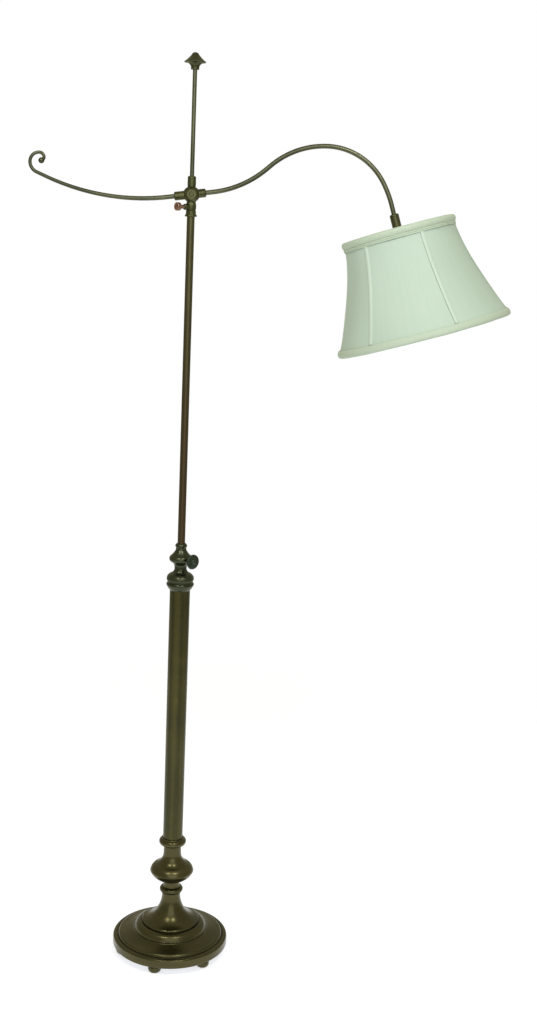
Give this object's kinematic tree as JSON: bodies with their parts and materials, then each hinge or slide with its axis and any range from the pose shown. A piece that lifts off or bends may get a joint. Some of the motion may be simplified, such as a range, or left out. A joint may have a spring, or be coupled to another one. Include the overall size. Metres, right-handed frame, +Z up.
{
  "type": "bridge floor lamp",
  "caption": "Floor lamp on a weighted round base, with a telescoping pole, a swinging and tilting bridge arm that ends in a scroll, and a ribbed bell shade hung from a gooseneck.",
  "frame": {"origin": "middle of the lamp's bounding box, on the floor", "axes": "+Z up the pole, +X from the pole towards the shade, +Y to the back, where the cord goes in"},
  "size_m": [0.9878, 0.3638, 1.9318],
  "materials": {
    "column_bronze": "dark antique bronze patina, satin",
    "arm_bronze": "antique bronze patina rubbed a little lighter, satin",
    "screw_copper": "antique copper, satin",
    "iron": "as cast",
    "steel": "zinc plated",
    "bush_plastic": "natural nylon",
    "bushing_rubber": "matte black",
    "socket_brass": "bright brass",
    "black_plastic": "moulded black",
    "bulb_glass": "frosted inside",
    "shade_fabric": "stretched satin weave, pale mint",
    "lining_fabric": "smooth off-white lining",
    "trim_fabric": "pleated and folded trim, cream green"
  },
  "bodies": {
    "stand": {"bun_feet": "column_bronze", "foot_screws": "steel", "cover_plate": "steel", "base_shell": "column_bronze", "base_weight": "iron", "cord_bushing": "bushing_rubber", "tie_rod": "steel", "tie_washer": "steel", "tie_nut": "steel", "base_trumpet": "column_bronze", "neck_bead": "column_bronze", "lower_knop": "column_bronze", "column_ring": "column_bronze", "column_tube": "column_bronze", "column_plug": "bush_plastic", "column_cap": "column_bronze", "height_collar": "column_bronze", "guide_bush": "bush_plastic"},
    "height_clamp": {"height_screw": "steel", "height_knob": "column_bronze"},
    "pole": {"pole_tube": "arm_bronze", "pole_guide": "bush_plastic", "pole_ferrule": "arm_bronze"},
    "head": {"swivel_head": "arm_bronze", "top_sleeve": "arm_bronze", "top_rod": "arm_bronze", "finial": "arm_bronze"},
    "swing_clamp": {"swivel_screw": "screw_copper"},
    "arms": {"ball": "arm_bronze", "scroll_arm": "arm_bronze", "gooseneck": "arm_bronze", "coupling": "arm_bronze", "holder_nipple": "steel", "socket_cap": "socket_brass", "socket_shell": "socket_brass", "socket_core": "black_plastic", "bulb_cap": "steel", "bulb_glass": "bulb_glass", "fitter_ring": "steel", "shade_ring_nut": "black_plastic", "fitter_spokes": "steel", "top_ring": "steel", "bottom_ring": "steel", "shade_ribs": "steel", "shade_cover": "shade_fabric", "shade_lining": "lining_fabric", "seam_trims": "trim_fabric", "top_trim": "trim_fabric", "bottom_trim": "trim_fabric"},
    "tilt_pivot": {"tilt_screw": "arm_bronze"},
    "switch": {"switch_key": "black_plastic"}
  },
  "joints": [
    {"name": "height_slide", "type": "slide", "parent": "stand", "child": "pole", "axis": [0, 0, 1], "range_m": [-0.34, 0.185]},
    {"name": "height_screw_turn", "type": "hinge", "parent": "stand", "child": "height_clamp", "pos_m": [-0.168, 0.023, 0.901], "axis": [0.6428, -0.766, 0], "range_deg": [0, 360]},
    {"name": "arm_swing", "type": "hinge", "parent": "pole", "child": "head", "pos_m": [-0.168, 0.023, 1.625], "axis": [0, 0, 1], "range_deg": [-138, 138]},
    {"name": "swing_screw_turn", "type": "hinge", "parent": "head", "child": "swing_clamp", "pos_m": [-0.168, 0.023, 1.6315], "axis": [-0.8191, -0.5736, 0], "range_deg": [0, 360]},
    {"name": "arm_tilt", "type": "hinge", "parent": "head", "child": "arms", "pos_m": [-0.168, 0.023, 1.6567], "axis": [0, 1, 0], "range_deg": [-12, 28]},
    {"name": "tilt_screw_turn", "type": "hinge", "parent": "arms", "child": "tilt_pivot", "pos_m": [-0.168, 0.023, 1.6567], "axis": [0, -1, 0], "range_deg": [0, 360]},
    {"name": "switch_turn", "type": "hinge", "parent": "arms", "child": "switch", "pos_m": [0.27481, 0.01205, 1.56453], "axis": [0.9564, 0.0103, 0.292], "continuous": true}
  ]
}
